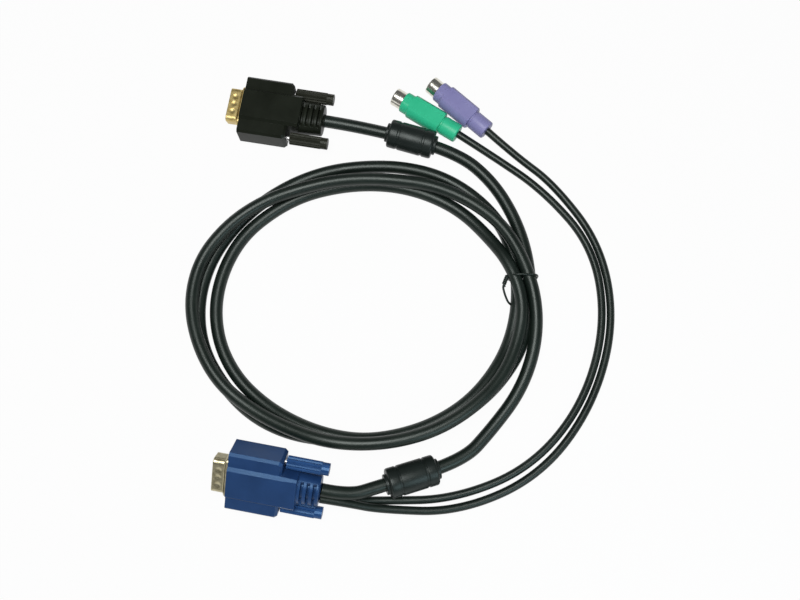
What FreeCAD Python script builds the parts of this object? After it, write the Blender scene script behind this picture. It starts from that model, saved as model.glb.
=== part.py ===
# Coiled KVM lead: two moulded 15-way plugs on a thick cable with two ferrite sleeves, and two round
# six-pin plugs on thin cables that leave the blue plug. It lies on a table, Z is up, lengths in mm.
import FreeCAD, Part
import math
import os
import Sketcher

sizes = {
    # moulded hood of the 15-way plugs: ears, raised middle, neck and slotted strain relief
    "hood_width": 31.5,
    "hood_thickness": 14.0,
    "hood_length": 25.2,
    "hood_chamfer": 1.2,
    "hood_corner": 1.4,
    "hump_width": 14.4,
    "hump_height": 1.5,
    "neck_length": 5.6,
    "neck_width": 17.0,
    "neck_thickness": 16.4,
    "relief_length": 12.7,
    "relief_width": 14.0,
    "relief_thickness": 12.8,
    "relief_taper": 1.4,
    "relief_chamfer": 2.0,
    "slot_start": 2.6,
    "slot_length": 1.6,
    "slot_pitch": 3.2,
    "slot_count": 3,
    "slot_width": 6.4,
    "slot_web": 1.8,
    "slot_floor": 4.5,
    # stamped steel shells and insulator
    "step_width": 20.4,
    "step_height": 11.0,
    "step_length": 2.6,
    "step_corner": 2.0,
    "collar_width": 16.92,
    "collar_height": 8.36,
    "collar_slope": 1.47,
    "collar_wall": 0.45,
    "collar_length": 4.6,
    "collar_corner": 1.4,
    "dent_diameter": 1.7,
    "dent_sides": 6,
    "dent_depth": 0.22,
    "dent_pitch": 3.4,
    "dent_count": 4,
    "dent_setback": 2.4,
    "rear_shell_width": 18.8,
    "rear_shell_height": 10.2,
    "rear_shell_depth": 5.0,
    "rear_shell_wall": 0.4,
    "insulator_reach": 2.2,
    "insulator_gap": 0.08,
    # contacts of the 15-way plugs, three rows of five
    "contact_diameter": 0.76,
    "contact_pitch": 2.29,
    "contact_row": 1.98,
    "contact_setback": 0.9,
    "contact_sides": 6,
    # captive thumbscrews
    "screw_spacing": 24.99,
    "stud_diameter": 2.84,
    "stud_setback": 0.4,
    "stud_gap": 0.3,
    "knob_diameter": 6.4,
    "knob_length": 16.4,
    "knob_tip_diameter": 6.0,
    "knob_tip_length": 3.6,
    "knob_standoff": 0.4,
    "flute_depth": 0.45,
    "flute_count": 14,
    "driver_slot_width": 0.9,
    "driver_slot_depth": 1.2,
    # round six-pin plugs
    "plug_nose_diameter": 10.5,
    "plug_nose_length": 4.3,
    "plug_diameter": 12.1,
    "plug_length": 19.2,
    "plug_edge": 0.6,
    "plug_flat": 4.75,
    "plug_groove_diameter": 8.6,
    "plug_groove_length": 1.0,
    "plug_boot_diameter": 9.5,
    "plug_boot_length": 9.2,
    "din_diameter": 9.5,
    "din_wall": 0.4,
    "din_reach": 5.8,
    "din_key_width": 1.8,
    "din_key_depth": 0.18,
    "din_key_count": 3,
    "din_recess": 4.2,
    "din_bar_width": 2.6,
    "din_bar_height": 1.3,
    "din_bar_offset": 0.9,
    "din_bar_setback": 0.7,
    "din_contact_circle": 6.2,
    "din_contact_diameter": 1.0,
    "din_contact_setback": 0.6,
    # sides of the bars that stand for turned and moulded rounds
    "round_sides": 16,
    # ferrite sleeves
    "ferrite_diameter": 13.4,
    "ferrite_length": 23.5,
    "ferrite_groove_inset": 4.6,
    "ferrite_groove_width": 1.1,
    "ferrite_groove_depth": 0.35,
    "ferrite_collar_diameter": 9.4,
    "ferrite_collar_length": 1.8,
    "ferrite_wall": 1.4,
    "ferrite_cap": 2.2,
    "ferrite_gap": 0.25,
    "ferrite_bore_gap": 0.1,
    # cables, coil and tie
    "main_cable_diameter": 6.5,
    "thin_cable_diameter": 4.0,
    "main_cable_offset": 2.6,
    "thin_cable_offset": 3.4,
    "thin_cable_rise": 2.2,
    "cable_sides": 8,
    "coil_outer_length": 176.8,
    "coil_outer_width": 149.2,
    "coil_inner_length": 144.4,
    "coil_inner_width": 124.6,
    "coil_inner_shift_x": 2.7,
    "coil_inner_shift_y": -4.6,
    "coil_height": 13.0,
    "tie_diameter": 1.6,
    "tie_sides": 4,
    "tie_corner": 2.0,
    "tie_twist_diameter": 2.4,
    "tie_tail_diameter": 1.0,
}

# where the pieces lie on the table: x and y in mm, angles in degrees
black_seat = (-27.9, 87.5)
black_yaw = -9.3
blue_seat = (-25.8, -102.2)
blue_yaw = -10.5
blue_roll = 36.0
green_seat = (41.8, 81.4)
green_yaw = -33.0
violet_seat = (57.2, 83.2)
violet_yaw = -42.3
coil_centre = (-8.6, -7.8)
tie_y = 3.9

# routes of the cables after their seat in the plug: x, y and height of each point
black_end_route = [(-3.7, 83.8, 7.6), (42.3, 70.7, 6.4), (62.3, 52.2, 4.4), (75.3, 26.0, 3.6),
                   (74.3, 7.0, 3.6)]
blue_end_route = [(-3.7, -101.2, 11.4), (41.7, -87.4, 4.7), (63.3, -66.5, 3.4), (77.3, -38.0, 3.5),
                  (79.9, -17.0, 4.2), (79.5, -2.0, 5.0)]
green_route = [(-2.7, -107.8, 4.0), (37.3, -106.6, 2.1), (75.3, -91.0, 2.1), (102.3, -60.0, 2.1),
               (115.3, -19.0, 2.1), (110.8, 21.0, 2.1), (86.3, 51.5, 2.1), (59.2, 70.4, 4.0)]
violet_route = [(-2.7, -112.4, 6.0), (39.3, -112.0, 2.1), (78.8, -95.0, 2.1), (106.5, -61.6, 2.1),
                (119.9, -19.0, 2.1), (114.7, 22.0, 2.1), (91.8, 55.0, 2.1), (71.9, 70.0, 4.0)]
# the tie's twisted end and loose tail, from the upper inner corner of its loop
tie_twist_route = [(0.0, 0.0, 0.0), (-1.8, -6.8, -0.8)]
tie_tail_route = [(-1.8, -6.8, -0.8), (-0.8, -11.6, 0.8), (4.6, -15.6, 3.4)]
# how far along its run of the cable each ferrite sits
ferrite_share = 0.45
# how far each loose thumbscrew is pulled back from its hood
screw_pull = {"black_a": 0.2, "black_b": 1.4, "blue_a": 0.6, "blue_b": 0.0}


class Length:
    """A length with its value and the sheet expression that gives it."""

    def __init__(self, value, text):
        self.value = value
        self.text = text

    def __add__(self, other):
        other = as_length(other)
        return Length(self.value + other.value, f"({self.text} + {other.text})")

    def __sub__(self, other):
        other = as_length(other)
        return Length(self.value - other.value, f"({self.text} - {other.text})")

    def __mul__(self, factor):
        return Length(self.value * factor, f"({self.text} * {factor})")

    def __truediv__(self, divisor):
        return Length(self.value / divisor, f"({self.text} / {divisor})")

    def __neg__(self):
        return Length(-self.value, f"(-{self.text})")


def as_length(number):
    if isinstance(number, Length):
        return number
    return Length(float(number), str(float(number)))


doc = FreeCAD.newDocument("kvm_lead")
sheet = doc.addObject("Spreadsheet::Sheet", "Sizes")
for row, (alias, number) in enumerate(sizes.items(), 1):
    sheet.set(f"A{row}", alias)
    sheet.set(f"B{row}", str(number))
    sheet.setAlias(f"B{row}", alias)
doc.recompute()
size = {alias: Length(float(number), f"Sizes.{alias}") for alias, number in sizes.items()}
sub_parts = []


# Drawing helpers

def new_body(label):
    body = doc.addObject("PartDesign::Body", label)
    body.Label = label
    sub_parts.append(body)
    return body


def origin_feature(body, role):
    return [feature for feature in body.Origin.OriginFeatures if feature.Role == role][0]


def new_sketch(body, name, plane, offset=0):
    sketch = body.newObject("Sketcher::SketchObject", name)
    sketch.AttachmentSupport = [(origin_feature(body, plane), "")]
    sketch.MapMode = "FlatFace"
    offset = as_length(offset)
    sketch.AttachmentOffset = FreeCAD.Placement(FreeCAD.Vector(0, 0, offset.value), FreeCAD.Rotation())
    sketch.setExpression("AttachmentOffset.Base.z", offset.text)
    return sketch


def pin_point(sketch, geometry, point, x, y):
    for kind, length, axis in (("DistanceX", x, -2), ("DistanceY", y, -1)):
        length = as_length(length)
        if length.value == 0:
            sketch.addConstraint(Sketcher.Constraint("PointOnObject", geometry, point, axis))
        elif length.value > 0:
            index = sketch.addConstraint(
                Sketcher.Constraint(kind, -1, 1, geometry, point, length.value))
            sketch.setExpression(f"Constraints[{index}]", length.text)
        else:
            index = sketch.addConstraint(
                Sketcher.Constraint(kind, geometry, point, -1, 1, -length.value))
            sketch.setExpression(f"Constraints[{index}]", (-length).text)


def outline(sketch, points, construction=False):
    first = sketch.GeometryCount
    corners = [FreeCAD.Vector(as_length(x).value, as_length(y).value, 0) for x, y in points]
    count = len(corners)
    for i in range(count):
        sketch.addGeometry(Part.LineSegment(corners[i], corners[(i + 1) % count]), construction)
    for i in range(count):
        sketch.addConstraint(
            Sketcher.Constraint("Coincident", first + i, 2, first + (i + 1) % count, 1))
    for i, (x, y) in enumerate(points):
        pin_point(sketch, first + i, 1, x, y)
    return first, corners


def rounded_outline(sketch, points, radius):
    """An outline whose corners, taken counter-clockwise, are arcs of one radius."""
    guide, corners = outline(sketch, points, construction=True)
    count = len(corners)
    bends = []
    for i in range(count):
        back = (corners[i - 1] - corners[i]).normalize()
        ahead = (corners[(i + 1) % count] - corners[i]).normalize()
        half_angle = back.getAngle(ahead) / 2
        reach = radius.value / math.tan(half_angle)
        inward = (back + ahead).normalize()
        centre = corners[i] + inward * (radius.value / math.sin(half_angle))
        bends.append((corners[i] + back * reach, centre, corners[i] + ahead * reach))
    first = sketch.GeometryCount
    for i, (start, centre, end) in enumerate(bends):
        ring = Part.Circle(centre, FreeCAD.Vector(0, 0, 1), radius.value)
        sketch.addGeometry(Part.ArcOfCircle(ring, ring.parameter(start), ring.parameter(end)), False)
        sketch.addGeometry(Part.LineSegment(end, bends[(i + 1) % count][0]), False)
    for i in range(count):
        arc = first + 2 * i
        line = arc + 1
        next_arc = first + 2 * ((i + 1) % count)
        sketch.addConstraint(Sketcher.Constraint("Tangent", arc, 2, line, 1))
        sketch.addConstraint(Sketcher.Constraint("Tangent", line, 2, next_arc, 1))
        sketch.addConstraint(Sketcher.Constraint("PointOnObject", line, 1, guide + i))
        sketch.addConstraint(Sketcher.Constraint("PointOnObject", line, 2, guide + i))
        number = sketch.addConstraint(Sketcher.Constraint("Radius", arc, radius.value))
        sketch.setExpression(f"Constraints[{number}]", radius.text)


def circle(sketch, x, y, diameter):
    centre = FreeCAD.Vector(as_length(x).value, as_length(y).value, 0)
    index = sketch.addGeometry(
        Part.Circle(centre, FreeCAD.Vector(0, 0, 1), diameter.value / 2), False)
    pin_point(sketch, index, 3, x, y)
    number = sketch.addConstraint(Sketcher.Constraint("Diameter", index, diameter.value))
    sketch.setExpression(f"Constraints[{number}]", diameter.text)


def rectangle_points(width, height):
    x = width / 2
    y = height / 2
    return [(x, y), (-x, y), (-x, -y), (x, -y)]


def polygon_points(x, y, diameter, sides):
    """Corners of a regular polygon across a diameter."""
    steps = [2 * math.pi * (number + 0.5) / sides for number in range(sides)]
    return [(diameter / 2 * math.cos(step) + x, diameter / 2 * math.sin(step) + y) for step in steps]


def pad(body, name, sketch, length, backward=False, symmetric=False):
    feature = body.newObject("PartDesign::Pad", name)
    feature.Profile = sketch
    feature.Length = length.value
    feature.setExpression("Length", length.text)
    feature.Reversed = backward
    if symmetric:
        feature.SideType = "Symmetric"
    body.Tip = feature
    return feature


def pocket(body, name, sketch, length=None, forward=False):
    base = body.Tip
    feature = body.newObject("PartDesign::Pocket", name)
    feature.Profile = sketch
    feature.Reversed = forward
    if length is None:
        feature.Type = "ThroughAll"
    else:
        feature.Length = length.value
        feature.setExpression("Length", length.text)
    body.Tip = feature
    doc.recompute()
    if feature.Shape.Volume >= base.Shape.Volume:
        raise ValueError(f"{name} cuts nothing")
    return feature


def prism(body, name, x, length, diameter, cut=False):
    """A many-sided bar about the X axis, added to the body or cut from it."""
    kind = "PartDesign::SubtractivePrism" if cut else "PartDesign::AdditivePrism"
    feature = body.newObject(kind, name)
    feature.AttachmentSupport = [(origin_feature(body, "YZ_Plane"), "")]
    feature.MapMode = "FlatFace"
    feature.setExpression("AttachmentOffset.Base.z", as_length(x).text)
    feature.setExpression("Polygon", size["round_sides"].text)
    feature.setExpression("Circumradius", (diameter / 2).text)
    feature.setExpression("Height", length.text)
    body.Tip = feature
    return feature


def chamfer_edges(body, name, amount, wanted):
    """Chamfer the edges of the tip that the test picks."""
    doc.recompute()
    base = body.Tip
    names = [f"Edge{i}" for i, edge in enumerate(base.Shape.Edges, 1) if wanted(edge)]
    feature = body.newObject("PartDesign::Chamfer", name)
    feature.Base = (base, names)
    feature.Size = amount.value
    feature.setExpression("Size", amount.text)
    body.Tip = feature
    return feature


def repeat_along(body, name, originals, axis, pitch, count):
    feature = body.newObject("PartDesign::LinearPattern", name)
    feature.Originals = originals
    feature.Direction = (origin_feature(body, axis), [""])
    feature.Length = pitch.value * (count.value - 1)
    feature.setExpression("Length", f"{pitch.text} * ({count.text} - 1)")
    feature.Occurrences = int(count.value)
    feature.setExpression("Occurrences", count.text)
    body.Tip = feature
    return feature


def repeat_around(body, name, originals, count):
    feature = body.newObject("PartDesign::PolarPattern", name)
    feature.Originals = originals
    feature.Axis = (origin_feature(body, "X_Axis"), [""])
    feature.Occurrences = int(count.value)
    feature.setExpression("Occurrences", count.text)
    body.Tip = feature
    return feature


def near(number, target):
    return abs(number - target) < 1e-4


along_x = FreeCAD.Vector(1, 0, 0)
along_z = FreeCAD.Vector(0, 0, 1)

# Lengths that several pieces share
relief_x = size["hood_length"] + size["neck_length"]
hood_end = relief_x + size["relief_length"]
half_screws = size["screw_spacing"] / 2
knob_x = size["hood_length"] + size["knob_standoff"]
collar_reach = size["step_length"] + size["collar_length"]
plug_body_x = size["plug_nose_length"] + size["plug_length"]
plug_boot_x = plug_body_x + size["plug_groove_length"]
plug_end = plug_boot_x + size["plug_boot_length"]
din_bore = size["din_diameter"] - size["din_wall"] * 2

# where the cables leave each hood: y and z
black_exits = [(0, 0)]
blue_exits = [
    (size["main_cable_offset"], 0),
    (-size["thin_cable_offset"], size["thin_cable_rise"]),
    (-size["thin_cable_offset"], -size["thin_cable_rise"]),
]


# Sections across the hood

def hump_section(width, half_height):
    slope = size["hump_height"]
    top = width / 2
    side = top + slope
    shoulder = half_height - slope
    return [(top, half_height), (side, shoulder), (side, -shoulder), (top, -half_height),
            (-top, -half_height), (-side, -shoulder), (-side, shoulder), (-top, half_height)]


def chamfered_section(width, height, chamfer):
    x = width / 2
    y = height / 2
    return [(x - chamfer, y), (x, y - chamfer), (x, -(y - chamfer)), (x - chamfer, -y),
            (-(x - chamfer), -y), (-x, -(y - chamfer)), (-x, y - chamfer), (-(x - chamfer), y)]


def collar_section(grow):
    """The D outline of the collar's inside, grown outward by a length."""
    half_height = size["collar_height"] / 2 + grow
    top = size["collar_width"] / 2 + grow
    foot = top - size["collar_slope"]
    return [(top, half_height), (-top, half_height), (-foot, -half_height), (foot, -half_height)]


def contact_places():
    places = []
    for row in (-1, 0, 1):
        stagger = 0.25 if row == 0 else -0.25
        for column in (-2, -1, 0, 1, 2):
            places.append((size["contact_pitch"] * (column + stagger), size["contact_row"] * row))
    return places


# Pieces of a 15-way plug, with X from the mating face to the cable

def make_hood(label):
    body = new_body(label)
    half = size["hood_thickness"] / 2
    hump_top = half + size["hump_height"]
    plan = new_sketch(body, label + "_plan", "XY_Plane")
    side = size["hood_width"] / 2
    rear = size["hood_length"]
    corner = size["hood_corner"]
    outline(plan, [(0, side), (rear - corner, side), (rear, side - corner), (rear, -(side - corner)),
                   (rear - corner, -side), (0, -side)])
    pad(body, label + "_ears", plan, size["hood_thickness"], symmetric=True)
    chamfer_edges(body, label + "_edges", size["hood_chamfer"],
                  lambda edge: near(abs(edge.CenterOfMass.z), half.value)
                  and edge.CenterOfMass.x > 1e-4)
    hump = new_sketch(body, label + "_hump_section", "YZ_Plane")
    outline(hump, hump_section(size["hump_width"], hump_top))
    pad(body, label + "_hump", hump, relief_x)
    relief = new_sketch(body, label + "_relief_section", "YZ_Plane", relief_x)
    outline(relief, chamfered_section(size["relief_width"], size["relief_thickness"], size["relief_chamfer"]))
    pad(body, label + "_relief", relief, size["relief_length"])
    narrow_tail(body, label, "XY_Plane", size["hump_width"] / 2 + size["hump_height"],
                size["neck_width"] / 2, size["relief_width"] / 2)
    narrow_tail(body, label, "XZ_Plane", hump_top,
                size["neck_thickness"] / 2, size["relief_thickness"] / 2)
    doc.recompute()
    cut_relief_slots(body, label)
    screws = new_sketch(body, label + "_screw_bores", "YZ_Plane")
    for sign in (1, -1):
        circle(screws, half_screws * sign, 0, size["stud_diameter"] + size["stud_gap"] * 2)
    pocket(body, label + "_screw_ways", screws, forward=True)
    cavity = new_sketch(body, label + "_shell_seat", "YZ_Plane")
    outline(cavity, rectangle_points(size["rear_shell_width"], size["rear_shell_height"]))
    pocket(body, label + "_shell_cavity", cavity, size["rear_shell_depth"], forward=True)
    return body


def narrow_tail(body, label, plane, wide, neck, relief):
    """Taper the neck and strain relief on two sides, seen square to a plane."""
    sketch = new_sketch(body, f"{label}_{plane}_taper", plane)
    end = relief - size["relief_taper"] / 2
    for sign in (1, -1):
        outline(sketch, [(size["hood_length"], wide * sign), (relief_x, neck * sign), (relief_x, relief * sign),
                         (hood_end, end * sign), (hood_end, wide * sign)])
    doc.recompute()
    cut = pocket(body, f"{label}_{plane}_taper_cut", sketch, size["hood_width"])
    cut.SideType = "Symmetric"


def cut_relief_slots(body, label):
    cuts = []
    for face, sign in (("top", 1), ("bottom", -1)):
        sketch = new_sketch(body, f"{label}_{face}_slots", "XY_Plane", size["slot_floor"] * sign)
        start = relief_x + size["slot_start"]
        end = start + size["slot_length"]
        inner = size["slot_web"] / 2
        outer = inner + size["slot_width"]
        outline(sketch, [(start, inner), (end, inner), (end, outer), (start, outer)])
        outline(sketch, [(start, -inner), (end, -inner), (end, -outer), (start, -outer)])
        cuts.append(pocket(body, f"{label}_{face}_slot_row", sketch, forward=sign > 0))
    repeat_along(body, label + "_slots", cuts, "X_Axis", size["slot_pitch"], size["slot_count"])


def make_front_shell(label):
    body = new_body(label)
    step = new_sketch(body, label + "_step", "YZ_Plane")
    outline(step, chamfered_section(size["step_width"], size["step_height"], size["step_corner"]))
    pad(body, label + "_root", step, size["step_length"], backward=True)
    collar = new_sketch(body, label + "_collar", "YZ_Plane")
    rounded_outline(collar, collar_section(size["collar_wall"]),
                    size["collar_corner"] + size["collar_wall"])
    pad(body, label + "_tube", collar, collar_reach, backward=True)
    mouth = new_sketch(body, label + "_mouth", "YZ_Plane")
    rounded_outline(mouth, collar_section(0), size["collar_corner"])
    doc.recompute()
    pocket(body, label + "_opening", mouth)
    dents = []
    first_dent = size["dent_pitch"] * ((1 - sizes["dent_count"]) / 2)
    top = size["collar_height"] / 2 + size["collar_wall"] - size["dent_depth"]
    for face, sign in (("top", 1), ("bottom", -1)):
        sketch = new_sketch(body, f"{label}_{face}_dent", "XY_Plane", top * sign)
        dent_x = -(collar_reach - size["dent_setback"])
        outline(sketch, polygon_points(dent_x, first_dent, size["dent_diameter"], sizes["dent_sides"]))
        dents.append(pocket(body, f"{label}_{face}_dent_cut", sketch, forward=sign > 0))
    repeat_along(body, label + "_dents", dents, "Y_Axis", size["dent_pitch"], size["dent_count"])
    return body


def make_rear_shell(label):
    body = new_body(label)
    section = new_sketch(body, label + "_section", "YZ_Plane")
    outline(section, rectangle_points(size["rear_shell_width"], size["rear_shell_height"]))
    wall = size["rear_shell_wall"] * 2
    outline(section, rectangle_points(size["rear_shell_width"] - wall,
                                      size["rear_shell_height"] - wall))
    pad(body, label + "_wall", section, size["rear_shell_depth"])
    return body


def make_insulator(label):
    body = new_body(label)
    wall = (size["rear_shell_wall"] + size["insulator_gap"]) * 2
    block = new_sketch(body, label + "_block", "YZ_Plane")
    outline(block, rectangle_points(size["rear_shell_width"] - wall, size["rear_shell_height"] - wall))
    pad(body, label + "_base", block, size["rear_shell_depth"])
    boss = new_sketch(body, label + "_boss", "YZ_Plane")
    rounded_outline(boss, collar_section(-size["insulator_gap"]), size["collar_corner"])
    pad(body, label + "_face", boss, size["insulator_reach"], backward=True)
    return body


def make_rods(label, places, diameter, tip, length):
    """A group of like contacts that stand on an insulator, their tips toward -X."""
    rods = []
    for number, (y, z) in enumerate(places, 1):
        rod = doc.addObject("Part::Prism", f"{label}_{number}")
        rod.Polygon = sizes["contact_sides"]
        rod.setExpression("Circumradius", (diameter / 2).text)
        rod.setExpression("Height", length.text)
        rod.Placement = FreeCAD.Placement(FreeCAD.Vector(), FreeCAD.Rotation(along_z, along_x))
        for axis, place_on_axis in (("x", tip), ("y", y), ("z", z)):
            rod.setExpression("Placement.Base." + axis, place_on_axis.text)
        rods.append(rod)
    group = doc.addObject("Part::Compound", label)
    group.Label = label
    group.Links = rods
    sub_parts.append(group)
    return group


def make_contacts(label):
    reach = collar_reach - size["contact_setback"]
    return make_rods(label, contact_places(), size["contact_diameter"], -reach,
                     reach - size["insulator_reach"])


def make_knob(label):
    body = new_body(label)
    ridge = size["knob_diameter"] / 2
    valley = ridge - size["flute_depth"]
    grip = new_sketch(body, label + "_grip", "YZ_Plane", knob_x)
    corners = []
    for number in range(2 * sizes["flute_count"]):
        radius = ridge if number % 2 == 0 else valley
        angle = math.pi * (number + 0.5) / sizes["flute_count"]
        corners.append((radius * math.cos(angle), radius * math.sin(angle)))
    outline(grip, corners)
    pad(body, label + "_flutes", grip, size["knob_length"])
    end = knob_x + size["knob_length"] + size["knob_tip_length"]
    prism(body, label + "_tip", knob_x + size["knob_length"], size["knob_tip_length"],
          size["knob_tip_diameter"])
    slot = new_sketch(body, label + "_driver_slot", "YZ_Plane", end)
    outline(slot, rectangle_points(size["knob_diameter"], size["driver_slot_width"]))
    doc.recompute()
    pocket(body, label + "_slot_cut", slot, size["driver_slot_depth"])
    return body


def make_stud(label):
    body = new_body(label)
    section = new_sketch(body, label + "_section", "YZ_Plane", size["stud_setback"])
    circle(section, 0, 0, size["stud_diameter"])
    pad(body, label + "_shank", section, knob_x - size["stud_setback"])
    return body


# Pieces of a round six-pin plug, with X from the nose to the cable

def make_plug_body(label):
    body = new_body(label)
    nose_x = size["plug_nose_length"]
    wide = size["plug_diameter"] / 2
    prism(body, label + "_nose", 0, nose_x, size["plug_nose_diameter"])
    prism(body, label + "_barrel", nose_x, size["plug_length"], size["plug_diameter"])
    prism(body, label + "_groove", plug_body_x, size["plug_groove_length"], size["plug_groove_diameter"])
    prism(body, label + "_boot", plug_boot_x, size["plug_boot_length"], size["plug_boot_diameter"])
    rims = (nose_x.value, plug_body_x.value)
    chamfer_edges(body, label + "_rims", size["plug_edge"],
                  lambda edge: any(near(edge.CenterOfMass.x, rim) for rim in rims)
                  and near(edge.Vertexes[0].Point.cross(along_x).Length, wide.value))
    flat = new_sketch(body, label + "_flat", "XY_Plane", size["plug_flat"])
    outline(flat, [(nose_x, wide), (plug_body_x, wide), (plug_body_x, -wide), (nose_x, -wide)])
    doc.recompute()
    pocket(body, label + "_flat_cut", flat, forward=True)
    return body


def make_din_shell(label):
    body = new_body(label)
    section = new_sketch(body, label + "_section", "YZ_Plane", -size["din_reach"])
    circle(section, 0, 0, size["din_diameter"])
    circle(section, 0, 0, din_bore)
    pad(body, label + "_tube", section, size["din_reach"])
    key = new_sketch(body, label + "_key", "YZ_Plane", -size["din_reach"])
    half = size["din_key_width"] / 2
    outer = size["din_diameter"] / 2
    floor = outer - size["din_key_depth"]
    outline(key, [(-half, -floor), (half, -floor), (half, -outer), (-half, -outer)])
    doc.recompute()
    cut = pocket(body, label + "_key_cut", key, size["din_reach"], forward=True)
    repeat_around(body, label + "_keys", [cut], size["din_key_count"])
    return body


def din_contact_places():
    ring = size["din_contact_circle"] / 2
    turns = [math.radians(angle) for angle in (-66, -114, -2, -178, 46, 134)]
    return [(ring * math.cos(turn), ring * math.sin(turn)) for turn in turns]


def make_din_insulator(label):
    body = new_body(label)
    face = -(size["din_reach"] - size["din_recess"])
    prism(body, label + "_base", face, -face, din_bore)
    bar = new_sketch(body, label + "_bar", "YZ_Plane", face)
    half = size["din_bar_width"] / 2
    low = size["din_bar_offset"]
    high = low + size["din_bar_height"]
    outline(bar, [(-half, low), (half, low), (half, high), (-half, high)])
    pad(body, label + "_key", bar, size["din_recess"] - size["din_bar_setback"], backward=True)
    return body


def make_din_contacts(label):
    tip = size["din_reach"] - size["din_contact_setback"]
    length = size["din_recess"] - size["din_contact_setback"]
    return make_rods(label, din_contact_places(), size["din_contact_diameter"], -tip, length)


# Ferrite sleeve, with X along the cable and its middle at zero

def make_ferrite_cover(label):
    body = new_body(label)
    half = size["ferrite_length"] / 2
    end = half + size["ferrite_collar_length"]
    inner = half - size["ferrite_cap"]
    bore = size["main_cable_diameter"] + size["ferrite_bore_gap"] * 2
    groove = size["ferrite_diameter"] - size["ferrite_groove_depth"] * 2
    groove_out = half - size["ferrite_groove_inset"]
    groove_in = groove_out - size["ferrite_groove_width"]
    prism(body, label + "_collars", -end, end * 2, size["ferrite_collar_diameter"])
    prism(body, label + "_grooves", -half, half * 2, groove)
    for name, start, stop in (("_end_a", -half, -groove_out), ("_middle", -groove_in, groove_in),
                              ("_end_b", groove_out, half)):
        prism(body, label + name, start, stop - start, size["ferrite_diameter"])
    prism(body, label + "_bore", -end, end * 2, bore, cut=True)
    prism(body, label + "_cavity", -inner, inner * 2, size["ferrite_diameter"] - size["ferrite_wall"] * 2,
          cut=True)
    return body


def make_ferrite_core(label):
    body = new_body(label)
    half = size["ferrite_length"] / 2 - size["ferrite_cap"] - size["ferrite_gap"]
    outer = size["ferrite_diameter"] - (size["ferrite_wall"] + size["ferrite_bore_gap"]) * 2
    bore = size["main_cable_diameter"] + size["ferrite_gap"] * 2
    prism(body, label + "_bead", -half, half * 2, outer)
    prism(body, label + "_bore", -half, half * 2, bore, cut=True)
    return body


# Cables

def tangent_path(points):
    """Straight runs joined by arcs as large as the shorter run at each point allows."""
    edges = []
    radii = []
    last = points[0]
    for before, corner, after in zip(points, points[1:], points[2:]):
        back = before - corner
        ahead = after - corner
        reach = 0.45 * min(back.Length, ahead.Length)
        half_turn = (math.pi - back.getAngle(ahead)) / 2
        radius = reach / math.tan(half_turn)
        back.normalize()
        ahead.normalize()
        start = corner + back * reach
        end = corner + ahead * reach
        inward = back + ahead
        inward.normalize()
        middle = corner + inward * (radius / math.cos(half_turn) - radius)
        edges.append(Part.LineSegment(last, start).toShape())
        edges.append(Part.Arc(start, middle, end).toShape())
        radii.append(round(radius, 1))
        last = end
    edges.append(Part.LineSegment(last, points[-1]).toShape())
    return Part.Wire(edges), radii


def tube_along(wire, diameter, sides):
    """A cable drawn with flats round its section, along a wire."""
    first = wire.OrderedEdges[0]
    start = first.valueAt(first.FirstParameter)
    ahead = first.tangentAt(first.FirstParameter)
    turn = FreeCAD.Rotation(FreeCAD.Vector(), along_z, ahead, "ZYX")
    corners = [FreeCAD.Vector(x.value, y.value, 0)
               for x, y in polygon_points(0, 0, as_length(diameter), sides)]
    corners.append(corners[0])
    section = Part.Face(Part.makePolygon([start + turn.multVec(corner) for corner in corners]))
    return wire.makePipe(section), section.Area


def new_solid(label, shape):
    feature = doc.addObject("Part::Feature", label)
    feature.Label = label
    feature.Shape = shape
    feature.Placement = FreeCAD.Placement()
    sub_parts.append(feature)
    return feature


def make_cable(label, points, diameter):
    wire, radii = tangent_path(points)
    tube, section_area = tube_along(wire, diameter, sizes["cable_sides"])
    print(label, "length", round(wire.Length, 1), "radii", radii,
          "volume over section times length", round(tube.Volume / (section_area * wire.Length), 4))
    return new_solid(label, tube)


def vectors(points):
    return [FreeCAD.Vector(*point) for point in points]


# Coil: the turns as one ring, wide where they fan out

def extruded_ellipse(name, length, width, x, y):
    ellipse = doc.addObject("Part::Ellipse", name + "_outline")
    ellipse.setExpression("MajorRadius", (length / 2).text)
    ellipse.setExpression("MinorRadius", (width / 2).text)
    ellipse.Placement = FreeCAD.Placement(FreeCAD.Vector(x.value, y.value, 0), FreeCAD.Rotation())
    ellipse.setExpression("Placement.Base.x", x.text)
    ellipse.setExpression("Placement.Base.y", y.text)
    block = doc.addObject("Part::Extrusion", name)
    block.Base = ellipse
    block.Solid = True
    block.setExpression("LengthFwd", size["coil_height"].text)
    return block


def make_coil(label):
    inner_x = size["coil_inner_shift_x"]
    inner_y = size["coil_inner_shift_y"]
    outside = extruded_ellipse("coil_outside", size["coil_outer_length"], size["coil_outer_width"],
                               as_length(0), as_length(0))
    inside = extruded_ellipse("coil_inside", size["coil_inner_length"], size["coil_inner_width"],
                              inner_x, inner_y)
    bundle = doc.addObject("Part::Cut", label)
    bundle.Label = label
    bundle.Base = outside
    bundle.Tool = inside
    bundle.Placement = FreeCAD.Placement(FreeCAD.Vector(*coil_centre, 0), FreeCAD.Rotation())
    sub_parts.append(bundle)
    return bundle


def coil_edge(length, width, shift_x, shift_y, y):
    """The right-hand x of a coil outline at a height y of the table."""
    rise = (y - coil_centre[1] - shift_y) / (width / 2)
    return coil_centre[0] + shift_x + length / 2 * math.sqrt(1 - rise ** 2)


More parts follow.
